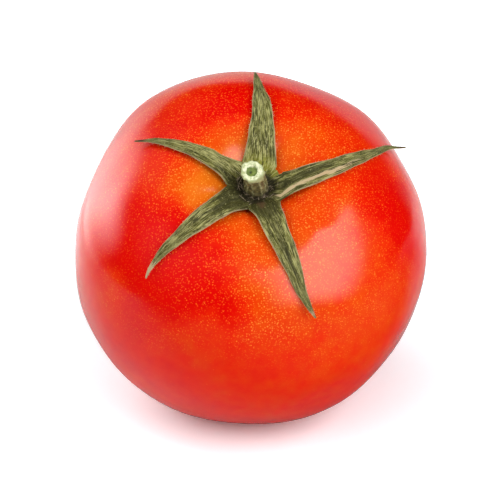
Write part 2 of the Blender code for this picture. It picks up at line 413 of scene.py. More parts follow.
def skin_material():
    material, n = new_material("tomato_skin")
    place = n.place()
    broad = n.noise(place, 60, 3.0, 0.6)
    fine = n.noise(place, 330, 4.0, 0.65)
    _, _, height = n.xyz(place)

    # Red ground, orange round the calyx, deep red where it ripened first
    warmth = ripeness(n, place, height, broad, fine)
    ground = n.mix(n.ramp(warmth, 0.0, 0.5), DEEP_RED, WARM_RED)
    ground = n.mix(n.ramp(warmth, 0.35, 1.0), ground, ORANGE)
    ground = n.mix(n.ramp(warmth, 0.9, 1.5), ground, YELLOW)

    # Golden specks, dense and fine round the stem end, sparser and larger lower down
    uneven_height = n.vary(height, broad, 0.03)
    upper = n.ramp(uneven_height, 0.009, 0.028)
    lower = n.ramp(uneven_height, -0.024, 0.004)
    tint = n.mix(n.ramp(warmth, 0.1, 0.9), RED_SPECK, GOLD_SPECK)
    ground = specks(n, place, ground, tint, 2500, 0.42, -0.2, upper, 0.42)
    ground = specks(n, place, ground, tint, 1500, 0.25, 0.05, upper, 0.85)
    ground = specks(n, place, ground, tint, 900, 0.14, 0.45, lower, 0.26)

    n.set("Principled BSDF", {
        "Base Color": ground,
        "Roughness": n.ramp(n.noise(place, 150), 0.3, 0.7, 0.13, 0.18),
        "IOR": 1.45,
        "Subsurface Weight": 0.2,
        "Subsurface Radius": (1.0, 0.2, 0.1),
        "Subsurface Scale": 0.002,
        "Normal": n.bump(n.noise(place, 160, 1.0), 0.08, 0.0002),
    })
    return material


def cube_mesh(name):
    """A cube from -1 to 1 with an even grid on each side."""
    cube = bmesh.new()
    bmesh.ops.create_cube(cube, size=2)
    bmesh.ops.subdivide_edges(cube, edges=cube.edges[:], cuts=FRUIT_CUTS, use_grid_fill=True)
    mesh = bpy.data.meshes.new(name)
    cube.to_mesh(mesh)
    cube.free()
    return mesh


def settled(points):
    """The skin rests on the surface: what would be below it is pressed flat, smoothly."""
    pose = np.array(POSE)
    world = points @ pose[:3, :3].T + pose[:3, 3]
    height = world[:, 2].copy()
    lowest = height.min()
    pressed = 0.5 * (height + np.hypot(height, CONTACT_SOFTNESS))
    pressed -= 0.5 * (lowest + math.hypot(lowest, CONTACT_SOFTNESS))
    world[:, 2] = np.where(height < CONTACT_HEIGHT, pressed, height)
    return (world - pose[:3, 3]) @ pose[:3, :3]


def add_fruit():
    mesh = cube_mesh("fruit_skin")
    # Even steps of angle across each side of the cube, then out to a sphere
    directions = unit(np.tan(get_points(mesh) * (math.pi / 4)))
    share = np.arccos(np.clip(directions[:, 2], -1, 1)) / math.pi
    distance = MERIDIAN * ((1 - STEM_END_CROWDING) * share + STEM_END_CROWDING * share**2)
    azimuth = np.arctan2(directions[:, 1], directions[:, 0])
    points = skin_points(distance, azimuth)

    off_ends = smooth(0.004, 0.012, distance) * smooth(0.002, 0.010, MERIDIAN - distance)
    relief = SWELLS * waves(points, SWELL_LENGTH, seed=3) * off_ends
    furrows = np.cos(FURROWS * azimuth + 1.3 * np.cos(3 * azimuth + 0.7))
    relief += FURROW_DEPTH * furrows * smooth(0.004, 0.009, distance) * smooth(0.026, 0.012, distance)
    set_points(mesh, settled(points + skin_normals(distance, azimuth) * relief[:, None]))
    mesh.shade_smooth()
    add_piece("fruit_skin", mesh, skin_material(), "fruit")


# ---------------------------------------------------------------- sepals

SEPAL_ROOT = 0.0027  # the leaves start at the stem's foot and are fused as far as the notches
SEPAL_NOTCH = 0.00595
SEPAL_TIP_WIDTH = 0.0003
SEPAL_THICKNESS = 0.00036
SEPAL_LIFT = 0.00075  # middle of the leaf above the skin
SEPAL_LEAST_LIFT = 0.00028
SEPAL_FLARE_LENGTH = 0.0013
SEPAL_CROWDING = 1.36  # the most that a leaf's width can be of its distance from the axis
ARCH_PLACE = 0.009  # the leaves arch over the rim of the dimple
ARCH_LENGTH = 0.0035
ARCH_HEIGHT = 0.0006
ROOT_DIP_LENGTH = 0.0012
ROOT_DIP = 0.0005
HOOK_START = 0.8  # share of the leaf from which the tip bends sideways
TIP_LIFT_START = 0.75  # share of the leaf from which the tip rises
EDGE_WAVES = 0.035  # share of the width by which the outline wavers
CRINKLE = 0.00006
CRINKLE_LENGTH = 0.0009
WARP = 0.00012
WARP_LENGTH = 0.006
EDGE_DROOP = 0.00025
SEPAL_ROWS = 150
SEPAL_COLUMNS = 30  # points across each face of a sepal

# Azimuths are in degrees. Turn is the power by which the azimuth goes from root to tip, reach
# is the tip's distance from the axis along the skin, fullness is how late the leaf narrows,
# flare is its extra width at the notch, and hook is how far the tip bends sideways.
# Folds: place across the leaf, half-width, height.
# Marks: what, along, across, half-length along and half-width across, strength.
# The dark marks at the roots of the left and the two front sepals, with along under 0.1, are painted shade
# where the leaves go down into the dimple.
SEPALS = {
    "sepal_back": {
        "root": 83, "tip": 91.5, "turn": 1.0, "reach": 0.0279, "width": 0.0057, "fullness": 1.25,
        "flare": 0.0019, "tip_lift": 0.0006, "hook": -0.0003, "height": 0.0,
        "folds": ((0.25, 0.3, 0.00016), (-0.45, 0.2, -0.00012), (-0.1, 0.12, 0.0001)),
        "marks": (("yellow", 0.05, 0.0, 0.14, 1.5, 0.9), ("pale", 0.50, 0.1, 0.16, 0.5, 0.45),
                  ("dark", 0.46, 1.0, 0.05, 0.25, 0.9), ("dark", 0.92, 0.0, 0.07, 1.2, 0.5)),
    },
    "sepal_left": {
        "root": 152.5, "tip": 155.5, "turn": 0.7, "reach": 0.0257, "width": 0.0042, "fullness": 1.0,
        "flare": 0.0021, "tip_lift": 0.0008, "hook": 0.0008, "height": 0.00015,
        "folds": ((0.15, 0.35, -0.00030), (-0.5, 0.2, 0.00012)),
        "marks": (("dark", 0.05, 0.6, 0.22, 0.6, 0.8), ("pale", 0.45, -0.45, 0.3, 0.35, 0.5),
                  ("dark", 0.45, 0.2, 0.06, 0.3, 0.5), ("brown", 0.96, 0.0, 0.07, 2.0, 0.9)),
    },
    "sepal_front_left": {
        "root": 220, "tip": 220, "turn": 1.0, "reach": 0.0274, "width": 0.0054, "fullness": 1.1,
        "flare": 0.0016, "tip_lift": 0.0010, "hook": 0.0015, "height": 0.00005,
        "folds": ((0.1, 0.25, -0.00045), (0.6, 0.2, 0.00015), (-0.5, 0.3, 0.00012)),
        "marks": (("dark", 0.18, 0.15, 0.22, 0.3, 1.0), ("pale", 0.55, -0.2, 0.25, 0.5, 0.45),
                  ("dark", 0.08, 0.0, 0.20, 1.5, 1.1), ("dry", 0.99, 0.0, 0.10, 2.5, 1.4)),
    },
    "sepal_front_right": {
        "root": 290, "tip": 293, "turn": 1.0, "reach": 0.0282, "width": 0.0048, "fullness": 1.6,
        "flare": 0.0024, "tip_lift": 0.0004, "hook": 0.0006, "height": 0.0001,
        "folds": ((0.1, 0.25, -0.00028), (0.6, 0.25, 0.0001)),
        "marks": (("dark", 0.50, 0.0, 0.20, 0.28, 0.95), ("pale", 0.32, 0.1, 0.08, 0.3, 0.6),
                  ("pale", 0.65, 0.55, 0.3, 0.3, 0.35), ("brown", 0.07, -0.1, 0.06, 0.6, 0.7),
                  ("dark", 0.06, 0.0, 0.20, 1.5, 1.1), ("dry", 0.97, 0.0, 0.04, 2.0, 0.8)),
    },
    "sepal_right": {
        "root": -8, "tip": 28.5, "turn": 0.45, "reach": 0.0350, "width": 0.0050, "fullness": 0.9,
        "flare": 0.0022, "tip_lift": 0.0016, "hook": -0.0015, "height": 0.0001,
        "folds": ((-0.35, 0.16, 0.00045), (0.25, 0.4, -0.0002), (-0.75, 0.2, -0.0001)),
        "marks": (("dry", 0.14, -0.52, 0.10, 0.11, 1.3), ("dry", 0.34, -0.45, 0.16, 0.13, 1.0),
                  ("dry", 0.44, -0.62, 0.10, 0.08, 0.9), ("dry", 0.52, -0.3, 0.10, 0.07, 0.8),
                  ("pale", 0.66, 0.1, 0.06, 0.6, 0.6), ("dark", 0.20, 0.3, 0.25, 0.6, 0.7),
                  ("brown", 0.97, 0.0, 0.05, 2.0, 0.9)),
    },
}
TONES = ("pale", "dark", "dry", "brown", "yellow")

LEAF_DARK = colour(0.032, 0.030, 0.006)
LEAF_GREEN = colour(0.165, 0.160, 0.034)
LEAF_PALE = colour(0.46, 0.44, 0.17)
LEAF_YELLOW = colour(0.33, 0.33, 0.04)
LEAF_EDGE = colour(0.50, 0.38, 0.19)
LEAF_DRY = colour(0.56, 0.43, 0.24)
LEAF_BROWN = colour(0.11, 0.06, 0.028)
# Painted shade: the leaves and the calyx cup are painted darkest round the floor of the dimple, where the
# stem stands
HUB_PAINTED_SHADE = colour(0.016, 0.013, 0.006)
HUB = (0.0, 0.0, TOP_HEIGHT - DIMPLE_DEPTH)  # floor of the dimple, where the leaves are darkest


def leaf_share(sepal, distance):
    """0 at the notch and 1 at the tip."""
    return rise(SEPAL_NOTCH, sepal["reach"], distance)


def sepal_width(sepal, distance):
    width = sepal["width"] * (1 - leaf_share(sepal, distance) ** sepal["fullness"]) + SEPAL_TIP_WIDTH
    past_notch = np.maximum(distance - SEPAL_NOTCH, 0)
    width = width + sepal["flare"] * np.exp(-past_notch / SEPAL_FLARE_LENGTH)
    # The smaller of this width and the room between the neighbours, with a soft change-over
    return (width**-8 + (SEPAL_CROWDING * distance) ** -8) ** -0.125


def sepal_lift(sepal, along, across, distance, width, seed):
    """How high the middle of the leaf is above the skin."""
    fade = (1 - along) ** 0.5
    lift = SEPAL_LIFT + sepal["height"] + sepal["tip_lift"] * rise(TIP_LIFT_START, 1, along) ** 2
    lift = lift + ARCH_HEIGHT * bell(distance, ARCH_PLACE, ARCH_LENGTH)
    lift = lift - ROOT_DIP * bell(distance, SEPAL_ROOT, ROOT_DIP_LENGTH)
    for where, half, height in sepal["folds"]:
        lift = lift + height * bell(across, where, half) * fade * smooth(0.02, 0.2, along)
    lengthwise = np.stack((distance * 0.35, across * 0.0022, 0 * along + seed * 0.01), axis=-1)
    lift = lift + CRINKLE * waves(lengthwise, CRINKLE_LENGTH, seed + 2) * fade
    broad = np.stack((distance, across * width / 2, 0 * along + seed * 0.01), axis=-1)
    lift = lift + WARP * waves(broad, WARP_LENGTH, seed + 5)
    lift = lift - EDGE_DROOP * np.abs(across) ** 4 * fade
    return np.maximum(lift, SEPAL_LEAST_LIFT)


def sepal_surface(sepal, along, across, face):
    """Points of a sepal: along is 0 at the root and 1 at the tip, across is -1 and 1 at the
    edges, and face is 1 on the upper side and -1 on the lower."""
    seed = int(sepal["root"]) % 97
    distance = SEPAL_ROOT + (sepal["reach"] - SEPAL_ROOT) * along
    turned = leaf_share(sepal, distance) ** sepal["turn"]
    azimuth = np.radians(sepal["root"] + (sepal["tip"] - sepal["root"]) * turned)
    radius = skin_profile(np.interp(distance, SKIN_LENGTHS, POLAR_STEPS))[0]
    side = np.stack((along, np.sign(across) * 0.3, 0 * along + seed), axis=-1)
    wavering = EDGE_WAVES * waves(side, 0.16, seed) * smooth(0.1, 0.3, along)
    width = sepal_width(sepal, distance) * (1 + wavering)
    hook = sepal["hook"] * rise(HOOK_START, 1, along) ** 2
    azimuth = azimuth + (hook + 0.5 * across * width) / radius

    edge = np.sqrt(np.clip(1 - np.abs(across) ** 6, 0, 1))
    half = 0.5 * SEPAL_THICKNESS * (0.3 + 0.7 * edge) * (1 - 0.45 * along)
    lift = sepal_lift(sepal, along, across, distance, width, seed)
    return above_skin(distance, azimuth, lift + face * half)


def sepal_tones(sepal, along, across):
    """How pale, dark, dry, brown and yellow the leaf is at each point, from its list of marks. Dark is
    partly the leaf's own streaks and partly painted shade near the roots.
    """
    tones = {kind: np.zeros(np.shape(along)) for kind in TONES}
    for kind, start, middle, half_length, half_width, strength in sepal["marks"]:
        spread = ((along - start) / half_length) ** 2 + ((across - middle) / half_width) ** 2
        tones[kind] = tones[kind] + strength * np.exp(-spread)
    return tones


def leaf_material():
    """Reads each vertex's place on its leaf (across, along, and a number that differs from
    leaf to leaf) and its tones, as store_leaf keeps them."""
    material, n = new_material("sepal_leaf")
    leaf = n.attribute("leaf")
    across, along, _ = n.xyz(leaf)
    paleness, darkness_and_shade, dryness = n.xyz(n.attribute("tone"))
    brownness, yellowness, _ = n.xyz(n.attribute("tint"))
    place = n.place()

    # Streaks and fibres that run along the leaf, with fine grain and blotches over them
    streaks = n.noise(n.stretched(leaf, (6.5, 5.0, 3.0)), 1.0, 6.0, 0.75, 0.3)
    fibres = n.noise(n.stretched(leaf, (12.0, 13.0, 3.0)), 1.0, 3.0, 0.7, 0.2)
    grain = n.noise(place, 2400, 2.0, 0.7)
    blotches = n.noise(place, 420, 4.0, 0.6)
    base = n.mix(n.ramp(streaks, 0.40, 0.56), LEAF_DARK, LEAF_GREEN)
    pale = n.math("MULTIPLY_ADD", n.math("SUBTRACT", paleness, 0.15), 0.22, blotches)
    base = n.mix(n.ramp(pale, 0.46, 0.76, 0.0, 0.55), base, LEAF_PALE)
    base = n.mix(n.ramp(yellowness, 0.15, 0.9, 0.0, 0.75), base, LEAF_YELLOW)
    base = n.mix(n.ramp(fibres, 0.51, 0.60, 0.0, 0.85), base, LEAF_PALE)
    base = n.mix(n.ramp(fibres, 0.38, 0.48, 0.85, 0.0), base, LEAF_DARK)
    # Dark streaks and marks, partly painted shade near the roots of the sepals
    base = n.mix(n.ramp(n.vary(darkness_and_shade, streaks, -2.5), 0.15, 0.75, 0.0, 0.85), base, LEAF_DARK)
    base = n.mix(n.ramp(grain, 0.60, 0.72, 0.0, 0.55), base, LEAF_PALE)

    # Dry and brown marks with ragged outlines, pale edges, and painted shade that darkens the leaves down in
    # the dimple round the stem
    uneven = n.vary(0.0, blotches, 1.4)
    ragged = n.vary(uneven, fibres, 2.4)
    dry = n.math("MULTIPLY_ADD", ragged, n.ramp(dryness, 0.0, 0.3), dryness)
    base = n.mix(n.ramp(dry, 0.42, 0.68), base, LEAF_DRY)
    brown = n.math("MULTIPLY_ADD", uneven, n.ramp(brownness, 0.0, 0.3), brownness)
    base = n.mix(n.ramp(brown, 0.35, 0.7), base, LEAF_BROWN)
    rim = n.vary(n.math("ABSOLUTE", across), streaks, 0.25)
    rim = n.math("MULTIPLY", n.ramp(rim, 0.88, 0.97), n.ramp(along, 0.12, 0.22))
    base = n.mix(n.math("MULTIPLY", rim, 0.75), base, LEAF_EDGE)
    hub_shade = n.vary(n.near(place, HUB, 0.0026, 0.0062), blotches, 1.6)
    base = n.mix(n.ramp(hub_shade, 0.2, 0.95, 0.0, 0.9), base, HUB_PAINTED_SHADE)

    n.set("Principled BSDF", {
        "Base Color": base,
        "Roughness": n.ramp(streaks, 0.3, 0.7, 0.5, 0.7),
        "Specular IOR Level": 0.2,
        "Normal": n.bump(fibres, 0.9, 0.00010, n.bump(streaks, 1.0, 0.00020)),
    })
    return material


def store_leaf(mesh, leaf, tones):
    store(mesh, "leaf", leaf)
    store(mesh, "tone", np.stack((tones["pale"], tones["dark"], tones["dry"]), axis=-1))
    store(mesh, "tint", np.stack((tones["brown"], tones["yellow"], 0 * tones["brown"]), axis=-1))


def add_sepal(name, sepal, material):
    along = np.linspace(0, 1, SEPAL_ROWS)[:, None]
    across = np.sin(np.linspace(-math.pi / 2, math.pi / 2, SEPAL_COLUMNS))
    # One ring: over the upper face, then back under the lower face
    ring = np.concatenate((across, across[-2:0:-1]))[None, :]
    face = np.concatenate((np.ones(SEPAL_COLUMNS), -np.ones(SEPAL_COLUMNS - 2)))[None, :]
    face = face * np.where(np.abs(ring) > 0.9999, 0, 1)
    along, ring, face = np.broadcast_arrays(along, ring, face)
    mesh = loft(name, sepal_surface(sepal, along, ring, face))
    offset = sepal["root"] / 7 + 0.1 * face
    store_leaf(mesh, np.stack((ring, along, offset), axis=-1), sepal_tones(sepal, along, ring))
    add_piece(name + "_leaf", mesh, material, name)


# ---------------------------------------------------------------- hairs

HAIRS_PER_SEPAL = 190
HAIR_RADIUS = 0.000018
HAIR_LENGTHS = (0.00020, 0.00055)
HAIR_COLOURS = (colour(0.40, 0.40, 0.22), colour(0.70, 0.66, 0.48))


def hair_material():
    material, n = new_material("calyx_hair")
    share = n.ramp(n.noise(n.place(), 900, 2.0), 0.35, 0.65)
    n.set("Principled BSDF", {"Base Color": n.mix(share, *HAIR_COLOURS), "Roughness": 0.5})
    return material


def sepal_hairs(sepal, random):
    """Thin three-sided cones along the edges of a sepal: three points round each foot and one
    at the tip."""
    count = HAIRS_PER_SEPAL
    along = random.uniform(0.14, 0.97, count)
    across = random.choice((-1.0, 1.0), count) * random.uniform(0.85, 1.0, count)
    foot = sepal_surface(sepal, along, across, np.zeros(count))
    inner = sepal_surface(sepal, along, across * 0.8, np.zeros(count))
    ahead = sepal_surface(sepal, np.minimum(along + 0.02, 1), across, np.zeros(count))
    out = unit(foot - inner)
    onward = unit(ahead - foot)
    up = np.cross(onward, out) * np.sign(across)[:, None]
    lean = unit(out + 0.5 * random.normal(size=(count, 3)) + 0.35 * onward + 0.25 * up)
    tip = foot + lean * random.uniform(*HAIR_LENGTHS, count)[:, None]
    wide = unit(np.cross(lean, up))
    high = np.cross(lean, wide)
    angle = 2 * math.pi * np.arange(3)[:, None] / 3
    ring = wide[:, None] * np.cos(angle) + high[:, None] * np.sin(angle)
    return np.concatenate((foot[:, None] + HAIR_RADIUS * ring, tip[:, None]), axis=1)


def add_hairs():
    """A fringe of short fine hairs along the edges of the sepals."""
    random = np.random.default_rng(17)
    hairs = np.concatenate([sepal_hairs(sepal, random) for sepal in SEPALS.values()])
    faces = []
    for a in range(0, 4 * len(hairs), 4):
        faces += [(a, a + 1, a + 3), (a + 1, a + 2, a + 3), (a + 2, a, a + 3)]
    add_piece("calyx_hairs", new_mesh("calyx_hairs", hairs, faces), hair_material(), None)


# ---------------------------------------------------------------- calyx cup

CUP_RINGS = 40
CUP_SEGMENTS = 150
CUP_REACH = 0.0051
CUP_SHIFT = 0.0007  # the cup reaches further on one side
CUP_SHIFT_HEADING = math.radians(110)
CUP_SCALLOPS = 0.00015
CUP_MIDDLE = 0.0002  # radius of the small facets that close the cup on the axis
CUP_TOP = 0.00062  # above the skin
CUP_UNDERSIDE = 0.00018
CUP_RIM_DROP = 0.0003
CUP_HOLLOW = 0.0002
CUP_YELLOW_HEADING = math.radians(50)

FIBRES = 70
# The corners of each face of a stick, which has corners 0 to 3 at one end and 4 to 7 at the other
FIBRE_FACES = ((0, 1, 5, 4), (1, 2, 6, 5), (2, 3, 7, 6), (3, 0, 4, 7), (3, 2, 1, 0), (4, 5, 6, 7))
FIBRE_COLOURS = (colour(0.03, 0.02, 0.01), colour(0.34, 0.26, 0.17))


def add_cup(material):
    """The fused middle of the calyx, which closes the gaps between the sepals' roots."""
    share = np.linspace(0, 1, CUP_RINGS)[:, None]
    azimuth = np.linspace(0, 2 * math.pi, CUP_SEGMENTS, endpoint=False)[None, :]
    share, azimuth = np.broadcast_arrays(share, azimuth)
    reach = CUP_REACH + CUP_SHIFT * np.cos(azimuth - CUP_SHIFT_HEADING) + CUP_SCALLOPS * np.cos(9 * azimuth)
    distance = CUP_MIDDLE + (reach - CUP_MIDDLE) * share
    top = CUP_TOP - CUP_RIM_DROP * smooth(0.85, 1.0, share) - CUP_HOLLOW * smooth(0.7, 0.4, share)
    upper = above_skin(distance, azimuth, top)
    upper[..., 2] += 0.00007 * waves(upper, 0.0013, 11)
    under = above_skin(distance, azimuth, np.full_like(distance, CUP_UNDERSIDE))
    mesh = loft("calyx_cup", np.concatenate((under, upper[::-1])))

    # The cup wears the leaf's material, as if it were one leaf near its root
    share = np.concatenate((share, share[::-1]))
    azimuth = np.concatenate((azimuth, azimuth))
    leaf = np.stack((np.cos(azimuth) * 0.5, 0.13 + 0 * share, np.sin(azimuth) * 3), axis=-1)
    tones = {kind: 0 * share for kind in TONES}
    tones["yellow"] = 0.9 * bell(azimuth, CUP_YELLOW_HEADING, 0.45) * smooth(0.4, 0.8, share)
    store_leaf(mesh, leaf, tones)
    add_piece("calyx_cup", mesh, material, "calyx_disc")


def fibre_material():
    material, n = new_material("dried_fibre")
    share = n.ramp(n.noise(n.place(), 1100, 2.0), 0.40, 0.62)
    n.set("Principled BSDF", {"Base Color": n.mix(share, *FIBRE_COLOURS), "Roughness": 0.7})
    return material


def add_fibres():
    """Short dried fibres lying round the foot of the stem: four-sided sticks, half as thick at
    their far end."""
    random = np.random.default_rng(5)
    points, faces = [], []
    for _ in range(FIBRES):
        azimuth = random.uniform(0, 2 * math.pi)
        distance = random.uniform(0.0026, 0.0046)
        turn = random.normal(0, 0.35)
        start = above_skin(distance, azimuth, random.uniform(0.0008, 0.0013))
        far_distance = distance + random.uniform(-0.0006, 0.0010)
        end = above_skin(far_distance, azimuth + turn, random.uniform(0.0008, 0.0016))
        direction = unit(end - start)
        wide = unit(np.cross(direction, (0, 0, 1)))
        high = np.cross(direction, wide)
        radius = random.uniform(0.00003, 0.00008)
        base = len(points)
        for point, scale in ((start, 1.0), (end, 0.5)):
            for angle in math.pi / 2 * np.arange(4):
                points.append(point + (wide * math.cos(angle) + high * math.sin(angle)) * radius * scale)
        faces += [tuple(base + corner for corner in face) for face in FIBRE_FACES]
    add_piece("calyx_fibres", new_mesh("calyx_fibres", points, faces), fibre_material(), None)


# ---------------------------------------------------------------- stem

STEM_RADIUS = 0.0019
STEM_HEIGHT = 0.0070
STEM_TILT = (-0.152, -0.02)  # sideways travel of the cut end for each unit of height
STEM_RIBS = 11
STEM_RIB_HEIGHT = 0.00013
STEM_FLARE = 0.00045  # extra radius at the foot
STEM_LIP = 0.00010  # extra radius just below the cut
STEM_RIM_DROP = 0.00009
STEM_PITH_DEPTH = 0.00045
STEM_PIT_DEPTH = 0.0003
STEM_ROUGHNESS = 0.00006
STEM_RINGS = 60
STEM_SEGMENTS = 144
STEM_CUT_RINGS = (0.97, 0.93, 0.86, 0.78, 0.70, 0.62, 0.55, 0.49, 0.44, 0.38, 0.30, 0.20, 0.10, 0.03)
STEM_FOOT = float(above_skin(0.0026, 0.0, 0.0002)[2])
# Middle of a dark spot in the pith: painted shade in the sunk pit, standing for a slit
STEM_SLIT = (  # a dark slit in the pith
    STEM_TILT[0] * STEM_HEIGHT - 0.0002,
    STEM_TILT[1] * STEM_HEIGHT,
    STEM_FOOT + STEM_HEIGHT - 0.0006,
)

BARK_DARK = colour(0.09, 0.075, 0.020)
BARK_LIGHT = colour(0.27, 0.22, 0.075)
BARK_BROWN = colour(0.20, 0.10, 0.05)
BARK_RIB = colour(0.36, 0.33, 0.15)
# Painted shade on the stem's foot, down in the dimple
BARK_FOOT_SHADE = colour(0.035, 0.028, 0.012)
BARK_COLLAR = colour(0.42, 0.44, 0.20)
CUT_COLOURS = (colour(0.42, 0.47, 0.20), colour(0.86, 0.87, 0.60))
CUT_EDGE = colour(0.34, 0.38, 0.15)
PITH_COLOURS = (colour(0.12, 0.18, 0.025), colour(0.24, 0.30, 0.06))
SLIT_SHADE = colour(0.02, 0.03, 0.004)


def stem_material():
    """Reads each vertex's height up the stem, share of the radius and place on a rib."""
    material, n = new_material("stem_bark")
    up, out, rib = n.xyz(n.attribute("stem"))
    place = n.place()
    mottle = n.noise(place, 1500, 4.0, 0.65)
    coarse = n.noise(place, 600, 3.0, 0.6)
    side = n.mix(n.ramp(mottle, 0.38, 0.62), BARK_DARK, BARK_LIGHT)
    side = n.mix(n.ramp(coarse, 0.55, 0.75, 0.0, 0.5), side, BARK_BROWN)
    side = n.mix(n.ramp(n.vary(rib, mottle, 1.6), 0.62, 1.0, 0.0, 0.8), side, BARK_RIB)
    # Painted shade: the lower part of the stem darkens towards its foot
    side = n.mix(n.ramp(up, 0.0, 0.45, 0.85, 0.0), side, BARK_FOOT_SHADE)
    side = n.mix(n.ramp(n.vary(up, coarse, 0.3), 0.80, 0.97, 0.0, 0.9), side, BARK_COLLAR)
    rim = n.mix(n.ramp(mottle, 0.36, 0.62), *CUT_COLOURS)
    pith = n.mix(n.ramp(mottle, 0.4, 0.65), *PITH_COLOURS)
    edge = n.vary(out, mottle, 0.25)
    face = n.mix(n.ramp(edge, 0.44, 0.56), pith, rim)
    face = n.mix(n.ramp(edge, 0.84, 0.98, 0.0, 0.8), face, CUT_EDGE)
    # Painted shade of a slit in the pith
    face = n.mix(n.near(place, STEM_SLIT, 0.00008, 0.00042), face, SLIT_SHADE)
    n.set("Principled BSDF", {
        "Base Color": n.mix(n.ramp(up, 0.985, 0.995), side, face),
        "Roughness": n.ramp(mottle, 0.3, 0.7, 0.5, 0.75),
        "Normal": n.bump(mottle, 0.9, 0.00018),
    })
    return material


def stem_radius(up, azimuth, rib):
    radius = STEM_RADIUS + STEM_FLARE * (1 - up) ** 3
    radius = radius + STEM_LIP * smooth(0.75, 0.95, up) - 0.00006 * smooth(0.96, 1.0, up)
    radius = radius + STEM_RIB_HEIGHT * (rib - 0.5) * (1.1 - 0.3 * up)
    return radius * (1 + 0.03 * np.cos(2 * azimuth + 0.6) + 0.015 * np.cos(5 * azimuth))


def add_stem():
    """A ribbed stub that bends to one side, closed by a cut with a sunk pith."""
    up = np.concatenate((np.linspace(0, 1, STEM_RINGS), np.ones(len(STEM_CUT_RINGS))))[:, None]
    out = np.concatenate((np.ones(STEM_RINGS), STEM_CUT_RINGS))[:, None]
    azimuth = -np.linspace(0, 2 * math.pi, STEM_SEGMENTS, endpoint=False)[None, :]
    up, out, azimuth = np.broadcast_arrays(up, out, azimuth)
    rib = 0.5 + 0.5 * np.cos(STEM_RIBS * azimuth + 1.1 * np.sin(2 * azimuth) + 0.7 * np.sin(3 * azimuth + 1))
    radius = stem_radius(up, azimuth, rib) * out

    # The cut slants, with a rounded rim, and its pith is sunk, deepest in the middle
    on_cut = up > 0.999
    pith_drop = STEM_PITH_DEPTH * smooth(0.58, 0.42, out) + STEM_PIT_DEPTH * smooth(0.2, 0.05, out)
    drop = STEM_RIM_DROP * smooth(0.88, 1.0, out) + pith_drop
    drop = np.where(on_cut, drop, STEM_RIM_DROP)
    slant = smooth(0.7, 1, up) * radius * (0.20 * np.sin(azimuth) + 0.12 * np.cos(azimuth))
    rings = around_axis(radius, azimuth, STEM_FOOT + STEM_HEIGHT * up - drop + slant)
    bend = STEM_HEIGHT * up**2
    rings[..., 0] += STEM_TILT[0] * bend
    rings[..., 1] += STEM_TILT[1] * bend

    knobs = STEM_ROUGHNESS * (waves(rings, 0.0009, 21) + waves(rings, 0.0022, 22))
    outward = around_axis(np.ones(up.shape), azimuth, 0.6 * on_cut)
    rings = rings + outward * (knobs * (0.3 + 0.7 * smooth(0.3, 0.5, out)))[..., None]
    mesh = loft("stem_stub", rings)
    store(mesh, "stem", np.stack((up, out, rib), axis=-1))
    add_piece("stem_stub", mesh, stem_material(), "stem")


# ---------------------------------------------------------------- stage, lights and camera

# Azimuth, elevation, distance, width and height, radiance, the shares of its width and height
# over which it fades at each edge, and roll. A softbox is only mirrored in the skin and a fill
# only lights it, so that the gloss and the shading are set apart from each other.
SOFTBOXES = {
    "left_softbox": (-123, 9, 0.17, (0.27, 0.19), 7.3, ((0.85, 0.28), (0.42, 0.62)), 45),
    "front_right_softbox": (41, 29, 0.5, (0.64, 0.56), 4.1, ((0.38, 0.35), (0.35, 0.12)), 0),
}
FILLS = {
    "left_fill": (-120, 42, 0.6, (0.5, 0.5), 2.3, ((0.2, 0.2), (0.2, 0.2)), 0),
    "right_fill": (55, 31, 0.5, (0.60, 0.56), 4.3, ((0.3, 0.35), (0.35, 0.12)), 0),
    "overhead_fill": (-50, 70, 1.0, (1.8, 1.8), 1.05, ((0.2, 0.2), (0.2, 0.2)), 0),
    "front_left_fill": (-55, 34, 0.6, (0.6, 0.5), 2.5, ((0.3, 0.3), (0.3, 0.3)), 0),
}

FLOOR_RADIUS = 0.38
FLOOR_DROP = 0.00003  # below the flat spot, so that the two faces don't flicker
# How pale the floor is to the camera near and far, to light bounced onto the fruit, and when
# mirrored in it, on the pale and on the dark side. To the camera it is paler than white, and less
# pale and cooler near the fruit: painted light and shade, which sets how dark the fruit's shadow
# reads and takes some of the red bounced from the fruit out of it.
SEEN_FLOOR = colour(1.30, 1.47, 1.51)
FAR_FLOOR = colour(1.9, 1.9, 1.9)
BOUNCED_FLOOR = 0.95
MIRRORED_FLOOR = (0.55, 0.01)
MIRRORED_DARK_SIDE = 30  # azimuth
# A painted pool of light on the floor near the left softbox, seen only in the skin's reflection
MIRRORED_LIGHT_POOL = 0.6
MIRRORED_LIGHT_POOL_PLACE = (-0.095, 0.085, 0.0)
MIRRORED_BACK = 0.4

SEEN_ROOM = 1.05
BACKDROP = 0.65

CAMERA_ELEVATION = 30.0
CAMERA_DISTANCE = 0.3315
CAMERA_LENS = 120.0
CAMERA_AIM = (0.00012, 0.00056)  # right of and above the fruit's centre, as the camera sees it


def towards(azimuth, elevation):
    """A direction from the fruit: azimuth 0 is the front and 90 the right, in degrees."""
    a, e = math.radians(azimuth), math.radians(elevation)
    return Vector((math.sin(a) * math.cos(e), -math.cos(a) * math.cos(e), math.sin(e)))


